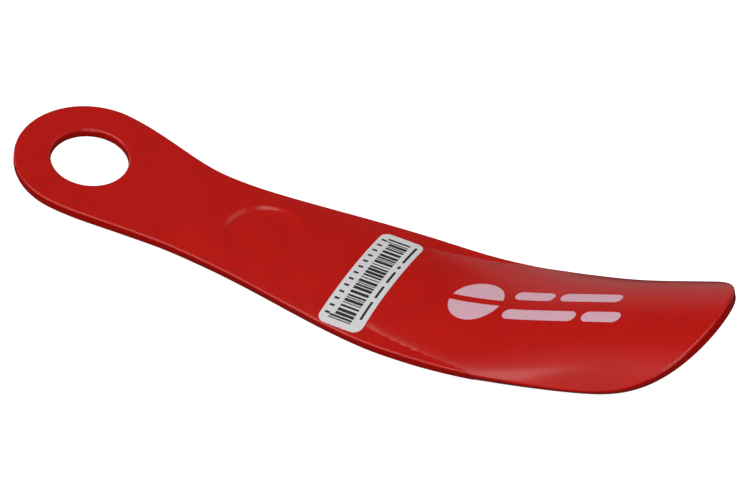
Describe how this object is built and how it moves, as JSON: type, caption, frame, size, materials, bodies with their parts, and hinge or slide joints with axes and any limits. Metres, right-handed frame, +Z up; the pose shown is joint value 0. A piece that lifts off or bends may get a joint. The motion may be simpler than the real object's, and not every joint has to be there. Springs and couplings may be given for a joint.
{
  "type": "shoehorn",
  "caption": "Short moulded plastic shoehorn with a hanging eye, a thumb rest, an arched blade, a paper label and a plain printed mark.",
  "frame": {"origin": "centre of the hanging eye, half way through the wall", "axes": "+X from the eye towards the blade's tip, +Y across the horn, +Z up; the horn lies hollow side down"},
  "size_m": [0.1779, 0.0396, 0.0294],
  "materials": {
    "red_plastic": "satin gloss, injection moulded",
    "label_paper": "matt coated paper",
    "black_ink": "matt printing ink",
    "pink_ink": "matt pad-printing ink"
  },
  "bodies": {
    "root": {"horn_body": "red_plastic", "barcode_label": "label_paper", "label_print": "black_ink", "printed_mark": "pink_ink"}
  },
  "joints": []
}
